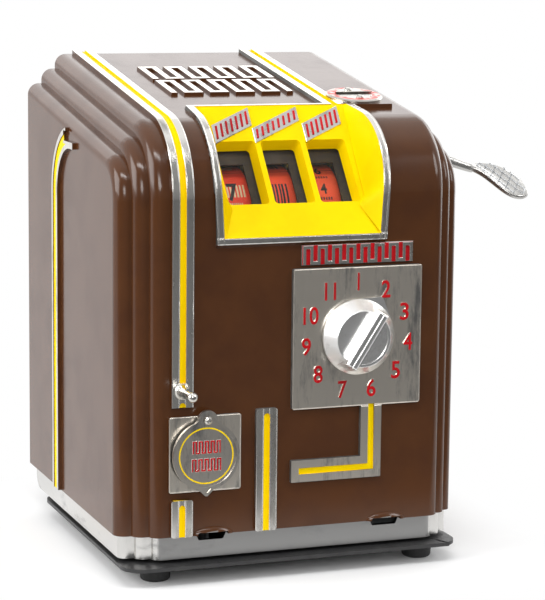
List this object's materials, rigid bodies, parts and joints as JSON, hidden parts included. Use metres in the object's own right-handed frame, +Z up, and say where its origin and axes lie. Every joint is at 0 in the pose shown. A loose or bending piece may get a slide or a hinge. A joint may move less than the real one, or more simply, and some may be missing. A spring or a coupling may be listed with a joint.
{
  "type": "trade stimulator",
  "caption": "Counter-top coin game: fluted cast case, number reels behind a slanted window frame, selector knob, swinging gum door, plunger and side lever.",
  "frame": {"origin": "on the table top, midway between the four feet", "axes": "+X to the right as seen from the front, the side of the lever; +Y to the back; +Z up"},
  "size_m": [0.3042, 0.2509, 0.3149],
  "materials": {
    "brown_enamel": "gloss enamel",
    "cast_band": "brushed casting",
    "sheet_steel": "plain sheet",
    "rubber_black": "matte",
    "steel_screws": "satin",
    "dished_cap": "satin",
    "window_glass": "clear",
    "black_mask": "matte black",
    "red_coin_plate": "polished, red painted ring",
    "polished_aluminium": "polished",
    "brass_parts": "satin",
    "chromed_parts": "polished",
    "reel_paper": "printed strip",
    "reel_drum_alu": "satin",
    "spring_steel": "wound wire"
  },
  "bodies": {
    "machine": {"case_shell": "brown_enamel", "base_casting": "cast_band", "base_plate": "sheet_steel", "rubber_feet": "rubber_black", "foot_screws": "steel_screws", "base_screws": "steel_screws", "underside_cap": "dished_cap", "window_glass": "window_glass", "reel_mask": "black_mask", "mask_screws": "steel_screws", "coin_entry_plate": "red_coin_plate", "coin_entry_screws": "chromed_parts", "selector_bushing": "brass_parts", "gum_door_pin": "steel_screws", "gum_cup": "sheet_steel", "gum_hopper": "sheet_steel", "plunger_guide": "chromed_parts", "plunger_bracket": "sheet_steel", "plunger_spring": "spring_steel", "frame_plate_left": "sheet_steel", "frame_plate_right": "sheet_steel", "spacer_bars": "steel_screws", "frame_screws": "steel_screws", "reel_shaft": "steel_screws", "shaft_collars": "brass_parts", "lever_bracket": "sheet_steel", "coin_chute": "sheet_steel", "cash_box": "sheet_steel", "hinge_case_leaves": "steel_screws", "hinge_pins": "steel_screws"},
    "lever": {"lever_handle": "polished_aluminium"},
    "bail": {"stop_bail": "sheet_steel"},
    "selector": {"selector_knob": "polished_aluminium", "selector_shaft": "steel_screws", "detent_wheel": "steel_screws"},
    "gum_door_body": {"gum_door": "polished_aluminium"},
    "plunger_body": {"plunger": "chromed_parts"},
    "reel_1": {"reel_1_drum": "reel_drum_alu", "reel_1_strip": "reel_paper", "reel_1_stop_wheel": "brass_parts"},
    "reel_2": {"reel_2_drum": "reel_drum_alu", "reel_2_strip": "reel_paper", "reel_2_stop_wheel": "brass_parts"},
    "reel_3": {"reel_3_drum": "reel_drum_alu", "reel_3_strip": "reel_paper", "reel_3_stop_wheel": "brass_parts"},
    "back_door_body": {"back_door": "brown_enamel", "hinge_door_leaves": "steel_screws", "lock_barrel": "chromed_parts"},
    "lock": {"lock_plug": "brass_parts"}
  },
  "joints": [
    {"name": "lever_press", "type": "hinge", "parent": "machine", "child": "lever", "pos_m": [0.062, -0.008, 0.246], "axis": [0, 1, 0], "range_deg": [0, 20], "stiffness_Nm_per_rad": 0.5, "springref_deg": -17.19},
    {"name": "bail_lift", "type": "hinge", "parent": "machine", "child": "bail", "pos_m": [0, 0.008, 0.25196], "axis": [1, 0, 0], "range_deg": [-13.2, 0]},
    {"name": "selector_turn", "type": "hinge", "parent": "machine", "child": "selector", "pos_m": [0.0362, -0.094, 0.1491], "axis": [0, 1, 0], "continuous": true},
    {"name": "gum_door_swing", "type": "hinge", "parent": "machine", "child": "gum_door_body", "pos_m": [-0.0624, -0.098, 0.1031], "axis": [0, 1, 0], "range_deg": [-60, 60]},
    {"name": "plunger_push", "type": "slide", "parent": "machine", "child": "plunger_body", "axis": [0, 1, 0], "range_m": [0, 0.006], "stiffness_N_per_m": 300, "springref_m": -0.008},
    {"name": "reel_1_spin", "type": "hinge", "parent": "machine", "child": "reel_1", "pos_m": [-0.03, -0.03081, 0.21896], "axis": [1, 0, 0], "continuous": true},
    {"name": "reel_2_spin", "type": "hinge", "parent": "machine", "child": "reel_2", "pos_m": [0, -0.03081, 0.21896], "axis": [1, 0, 0], "continuous": true},
    {"name": "reel_3_spin", "type": "hinge", "parent": "machine", "child": "reel_3", "pos_m": [0.03, -0.03081, 0.21896], "axis": [1, 0, 0], "continuous": true},
    {"name": "back_door_swing", "type": "hinge", "parent": "machine", "child": "back_door_body", "pos_m": [-0.08435, 0.1292, 0.144], "axis": [0, 0, 1], "range_deg": [0, 110]},
    {"name": "lock_turn", "type": "hinge", "parent": "back_door_body", "child": "lock", "pos_m": [0.069, 0.126, 0.144], "axis": [0, 1, 0], "range_deg": [0, 90]}
  ],
  "couplings": [
    {"joint": "bail_lift", "follows": "lever_press", "ratio": -0.66}
  ]
}
